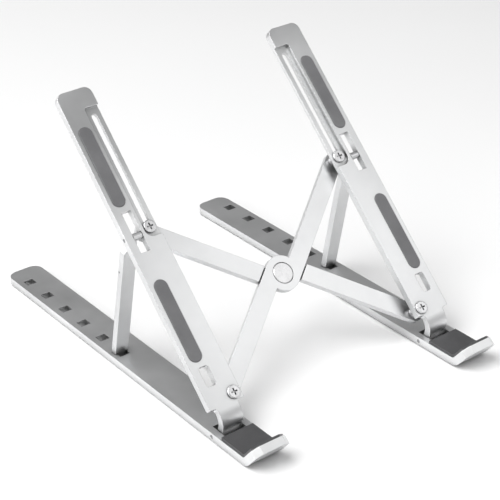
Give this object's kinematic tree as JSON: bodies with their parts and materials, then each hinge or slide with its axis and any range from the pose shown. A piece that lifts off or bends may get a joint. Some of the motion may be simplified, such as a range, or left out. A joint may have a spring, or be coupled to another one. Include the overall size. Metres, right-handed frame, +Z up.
{
  "type": "laptop stand",
  "caption": "Folding laptop stand: base rails with turned-up hooks, tilting support arms on props, and a scissor brace between them.",
  "frame": {"origin": "on the table, under the middle of the stand: midway between the rails and midway between hook and rear end", "axes": "+Z up, +Y to the rear along the rails, +X to the right seen from the hooks"},
  "size_m": [0.1566, 0.2458, 0.1456],
  "materials": {
    "rail_metal": "bead-blasted, anodised silver",
    "arm_metal": "bead-blasted, anodised silver",
    "prop_metal": "bead-blasted, anodised silver",
    "brace_metal": "bead-blasted, anodised silver",
    "rivet_metal": "turned face",
    "screw_steel": "nickel-plated",
    "pin_steel": "ground",
    "pad_rubber": "matte silicone",
    "strip_rubber": "matte silicone",
    "foot_rubber": "matte silicone",
    "ring_nylon": "plain"
  },
  "bodies": {
    "base_left": {"base_rail_left": "rail_metal", "hook_pad_left": "pad_rubber", "foot_front_left": "foot_rubber", "foot_rear_left": "foot_rubber", "hinge_pin_left": "pin_steel"},
    "base_right": {"base_rail_right": "rail_metal", "hook_pad_right": "pad_rubber", "foot_front_right": "foot_rubber", "foot_rear_right": "foot_rubber", "hinge_pin_right": "pin_steel"},
    "arm_left": {"support_arm_left": "arm_metal", "arm_pad_lower_left": "strip_rubber", "arm_pad_upper_left": "strip_rubber", "prop_pin_left": "pin_steel"},
    "arm_right": {"support_arm_right": "arm_metal", "arm_pad_lower_right": "strip_rubber", "arm_pad_upper_right": "strip_rubber", "prop_pin_right": "pin_steel"},
    "prop_left": {"prop_strut_left": "prop_metal"},
    "prop_right": {"prop_strut_right": "prop_metal"},
    "brace_upper": {"cross_bar_upper": "brace_metal", "centre_rivet": "rivet_metal", "rivet_ring": "ring_nylon", "pivot_screw_left": "screw_steel", "pivot_washer_left": "screw_steel", "slider_screw_right": "screw_steel", "slider_washer_right": "screw_steel"},
    "brace_lower": {"cross_bar_lower": "brace_metal", "pivot_screw_right": "screw_steel", "pivot_washer_right": "screw_steel", "slider_screw_left": "screw_steel", "slider_washer_left": "screw_steel"}
  },
  "joints": [
    {"name": "arm_lift", "type": "hinge", "parent": "base_left", "child": "arm_left", "pos_m": [-0.06805, -0.08439, 0.003], "axis": [1, 0, 0], "range_deg": [0, 28]},
    {"name": "brace_fold", "type": "hinge", "parent": "arm_left", "child": "brace_upper", "pos_m": [-0.062, -0.07868, 0.01784], "axis": [0, -0.7145, 0.6997], "range_deg": [0, 49.2]},
    {"name": "brace_cross", "type": "hinge", "parent": "brace_upper", "child": "brace_lower", "pos_m": [0, -0.04596, 0.05125], "axis": [0, -0.7145, 0.6997], "range_deg": [-98.4, 0]},
    {"name": "brace_right", "type": "hinge", "parent": "brace_lower", "child": "arm_right", "pos_m": [0.062, -0.07868, 0.01784], "axis": [0, -0.7145, 0.6997], "range_deg": [0, 49.2]},
    {"name": "rail_right", "type": "hinge", "parent": "arm_right", "child": "base_right", "pos_m": [0.06805, -0.08439, 0.003], "axis": [1, 0, 0], "range_deg": [-28, 0]},
    {"name": "prop_left_turn", "type": "hinge", "parent": "arm_left", "child": "prop_left", "pos_m": [-0.0721, -0.01658, 0.08454], "axis": [1, 0, 0], "range_deg": [-32.2, 0]},
    {"name": "prop_right_turn", "type": "hinge", "parent": "arm_right", "child": "prop_right", "pos_m": [0.0721, -0.01658, 0.08454], "axis": [1, 0, 0], "range_deg": [-32.2, 0]}
  ],
  "couplings": [
    {"joint": "brace_cross", "follows": "brace_fold", "ratio": -2},
    {"joint": "brace_right", "follows": "brace_fold", "ratio": 1},
    {"joint": "rail_right", "follows": "arm_lift", "ratio": -1},
    {"joint": "prop_left_turn", "follows": "arm_lift", "ratio": -1.15},
    {"joint": "prop_right_turn", "follows": "arm_lift", "ratio": -1.15}
  ]
}
